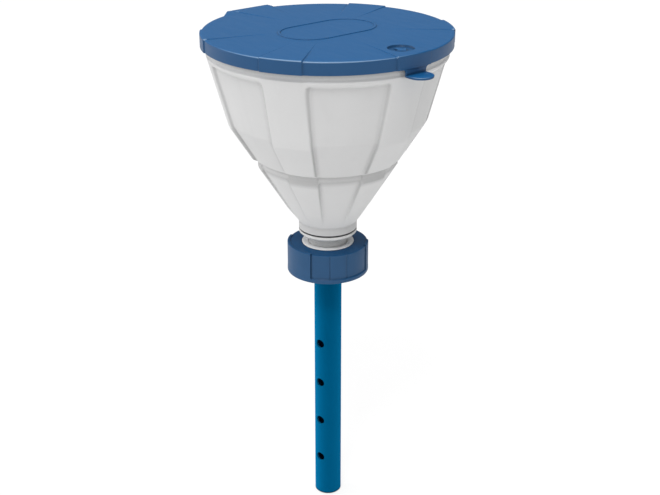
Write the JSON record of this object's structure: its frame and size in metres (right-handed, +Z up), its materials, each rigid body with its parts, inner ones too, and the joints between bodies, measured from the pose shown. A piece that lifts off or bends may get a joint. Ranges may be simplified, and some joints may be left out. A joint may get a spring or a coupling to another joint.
{
  "type": "lidded canister filling funnel",
  "caption": "Lidded liquid funnel for a screw-neck canister, with hinged lid, lift-out strainer, float-ball valve, free-turning union nut and perforated dip tube.",
  "frame": {"origin": "on the funnel's axis, in the plane where the canister's mouth meets the flat gasket", "axes": "+Z up along the funnel's axis; the lid's hinge is at +Y and its thumb tab at -Y"},
  "size_m": [0.2204, 0.2434, 0.4774],
  "materials": {
    "lid_blue": "moulded, satin, mid blue",
    "nut_blue": "moulded, satin, dark blue",
    "tube_blue": "extruded, slightly translucent bright blue",
    "funnel_white": "natural white blow-moulding grade, satin",
    "insert_white": "moulded or turned white, satin",
    "ball_white": "smooth white",
    "seal_black": "black elastomer",
    "seal_grey": "grey elastomer sheet",
    "pin_steel": "drawn stainless"
  },
  "bodies": {
    "funnel": {"funnel_body": "funnel_white", "hinge_pin": "pin_steel", "seat_insert": "insert_white", "seat_ring": "seal_black", "neck_gasket": "seal_black", "ball_cage": "insert_white", "spigot_ring": "seal_black", "collar": "insert_white", "cap_gasket": "seal_grey", "dip_tube": "tube_blue", "tube_ring": "seal_black"},
    "lid": {"lid": "lid_blue", "lid_gasket": "seal_grey"},
    "nut": {"union_nut": "nut_blue"},
    "ball": {"valve_ball": "ball_white"},
    "strainer": {"strainer": "insert_white", "strainer_knob": "insert_white"}
  },
  "joints": [
    {"name": "lid_hinge", "type": "hinge", "parent": "funnel", "child": "lid", "pos_m": [0, 0.1125, 0.1895], "axis": [-1, 0, 0], "range_deg": [0, 110]},
    {"name": "nut_spin", "type": "hinge", "parent": "funnel", "child": "nut", "pos_m": [0, 0, 0], "axis": [0, 0, 1], "continuous": true},
    {"name": "ball_lift", "type": "slide", "parent": "funnel", "child": "ball", "axis": [0, 0, 1], "range_m": [0, 0.012]},
    {"name": "strainer_lift", "type": "slide", "parent": "funnel", "child": "strainer", "axis": [0, 0, 1], "range_m": [0, 0.07]}
  ]
}
